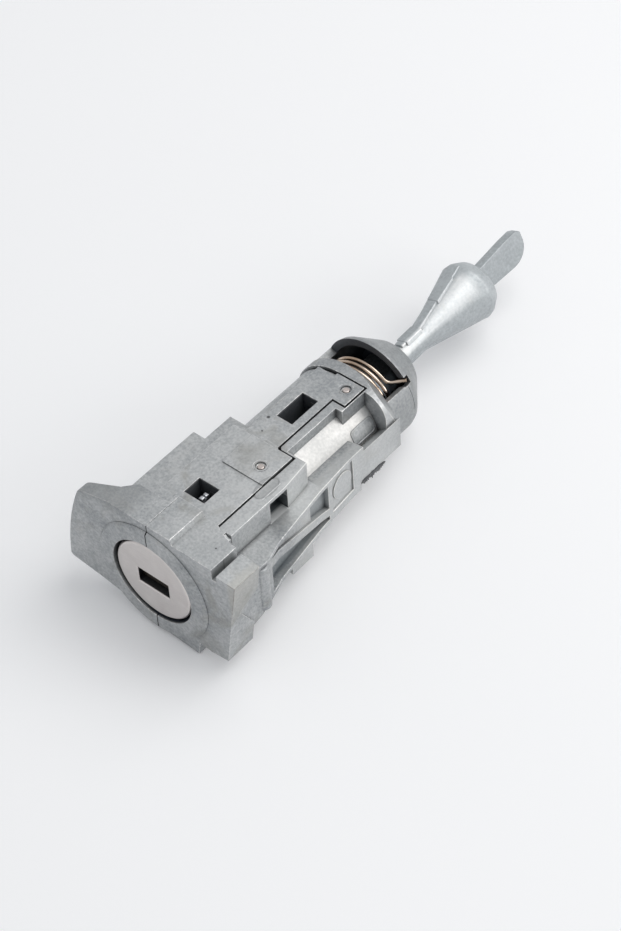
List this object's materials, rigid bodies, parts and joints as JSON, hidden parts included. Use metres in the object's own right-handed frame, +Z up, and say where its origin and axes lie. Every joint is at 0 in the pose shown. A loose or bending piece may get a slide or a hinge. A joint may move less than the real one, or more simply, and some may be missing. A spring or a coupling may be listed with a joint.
{
  "type": "car door lock cylinder",
  "caption": "Car door lock cylinder: die-cast housing with a flange, a turning key plug behind a steel face cap, a return spring in the rear cup, and a swivelling tail rod that works the latch.",
  "frame": {"origin": "centre of the key slot on the front face of the face cap, on the turning axis", "axes": "+Y along the turning axis from the key face to the tail, +Z up toward the plate with the two windows, +X to the right as seen from the key face"},
  "size_m": [0.0543, 0.1444, 0.0377],
  "materials": {
    "cast_zinc": "bare die-cast zinc alloy, satin, cool grey, slightly mottled",
    "tail_zinc": "bright zinc-plated die casting, satin, bluish white",
    "plug_zinc": "bare die-cast zinc alloy",
    "cap_steel": "drawn stainless steel, fine satin, warm light grey",
    "rivet_steel": "plain steel, bright headed ends",
    "shutter_steel": "dark oiled steel",
    "pin_steel": "ground steel",
    "sleeve_steel": "turned steel, lightly oiled",
    "spring_steel": "drawn spring steel wire with a bronze tint",
    "catch_brass": "nickel-plated brass, light",
    "wafer_brass": "stamped brass",
    "seal_rubber": "black rubber"
  },
  "bodies": {
    "housing": {"housing_left": "cast_zinc", "housing_right": "cast_zinc", "housing_rivets": "rivet_steel", "sleeve_catch": "catch_brass", "return_spring": "spring_steel"},
    "plug": {"plug": "plug_zinc", "face_cap": "cap_steel", "face_seal": "seal_rubber", "shutter_pin": "pin_steel", "shutter_spring": "spring_steel", "wafer_spring_1": "spring_steel", "wafer_spring_2": "spring_steel", "wafer_spring_3": "spring_steel", "wafer_spring_4": "spring_steel", "wafer_spring_5": "spring_steel", "wafer_spring_6": "spring_steel", "wafer_spring_7": "spring_steel", "wafer_spring_8": "spring_steel"},
    "shutter": {"key_shutter": "shutter_steel"},
    "sleeve": {"plug_sleeve": "sleeve_steel"},
    "driver": {"driver": "plug_zinc", "rod_pin": "pin_steel", "coupler_spring": "spring_steel"},
    "coupler": {"coupler": "plug_zinc"},
    "tail_rod": {"tail_rod": "tail_zinc"},
    "wafer_1": {"wafer_1": "wafer_brass"},
    "wafer_2": {"wafer_2": "wafer_brass"},
    "wafer_3": {"wafer_3": "wafer_brass"},
    "wafer_4": {"wafer_4": "wafer_brass"},
    "wafer_5": {"wafer_5": "wafer_brass"},
    "wafer_6": {"wafer_6": "wafer_brass"},
    "wafer_7": {"wafer_7": "wafer_brass"},
    "wafer_8": {"wafer_8": "wafer_brass"}
  },
  "joints": [
    {"name": "key_turn", "type": "hinge", "parent": "housing", "child": "plug", "pos_m": [0, 0.01, 0], "axis": [0, 1, 0], "range_deg": [-70, 70]},
    {"name": "sleeve_turn", "type": "hinge", "parent": "housing", "child": "sleeve", "pos_m": [0, 0.02, 0], "axis": [0, 1, 0], "range_deg": [-70, 70]},
    {"name": "driver_turn", "type": "hinge", "parent": "housing", "child": "driver", "pos_m": [0, 0.06, 0], "axis": [0, 1, 0], "range_deg": [-70, 70], "stiffness_Nm_per_rad": 0.08, "deforming": ["return_spring"]},
    {"name": "shutter_swing", "type": "hinge", "parent": "plug", "child": "shutter", "pos_m": [0, 0.0022, 0.0035], "axis": [1, 0, 0], "range_deg": [0, 80], "stiffness_Nm_per_rad": 0.0001, "springref_deg": -20.05},
    {"name": "coupler_slide", "type": "slide", "parent": "driver", "child": "coupler", "axis": [0, 1, 0], "range_m": [0, 0.003], "stiffness_N_per_m": 1000, "springref_m": -0.002, "deforming": ["coupler_spring"]},
    {"name": "rod_swivel", "type": "hinge", "parent": "driver", "child": "tail_rod", "pos_m": [0, 0.083, 0], "axis": [1, 0, 0], "range_deg": [-8.2, 1]},
    {"name": "wafer_slide_1", "type": "slide", "parent": "plug", "child": "wafer_1", "axis": [-1, 0, 0], "range_m": [0, 0.0007], "stiffness_N_per_m": 200, "springref_m": -0.001, "deforming": ["wafer_spring_1"]},
    {"name": "wafer_slide_2", "type": "slide", "parent": "plug", "child": "wafer_2", "axis": [1, 0, 0], "range_m": [0, 0.0007], "stiffness_N_per_m": 200, "springref_m": -0.001, "deforming": ["wafer_spring_2"]},
    {"name": "wafer_slide_3", "type": "slide", "parent": "plug", "child": "wafer_3", "axis": [-1, 0, 0], "range_m": [0, 0.0007], "stiffness_N_per_m": 200, "springref_m": -0.001, "deforming": ["wafer_spring_3"]},
    {"name": "wafer_slide_4", "type": "slide", "parent": "plug", "child": "wafer_4", "axis": [1, 0, 0], "range_m": [0, 0.0007], "stiffness_N_per_m": 200, "springref_m": -0.001, "deforming": ["wafer_spring_4"]},
    {"name": "wafer_slide_5", "type": "slide", "parent": "plug", "child": "wafer_5", "axis": [-1, 0, 0], "range_m": [0, 0.0007], "stiffness_N_per_m": 200, "springref_m": -0.001, "deforming": ["wafer_spring_5"]},
    {"name": "wafer_slide_6", "type": "slide", "parent": "plug", "child": "wafer_6", "axis": [1, 0, 0], "range_m": [0, 0.0007], "stiffness_N_per_m": 200, "springref_m": -0.001, "deforming": ["wafer_spring_6"]},
    {"name": "wafer_slide_7", "type": "slide", "parent": "plug", "child": "wafer_7", "axis": [-1, 0, 0], "range_m": [0, 0.0007], "stiffness_N_per_m": 200, "springref_m": -0.001, "deforming": ["wafer_spring_7"]},
    {"name": "wafer_slide_8", "type": "slide", "parent": "plug", "child": "wafer_8", "axis": [1, 0, 0], "range_m": [0, 0.0007], "stiffness_N_per_m": 200, "springref_m": -0.001, "deforming": ["wafer_spring_8"]}
  ],
  "couplings": [
    {"joint": "sleeve_turn", "follows": "key_turn", "ratio": 1},
    {"joint": "driver_turn", "follows": "key_turn", "ratio": 1}
  ]
}
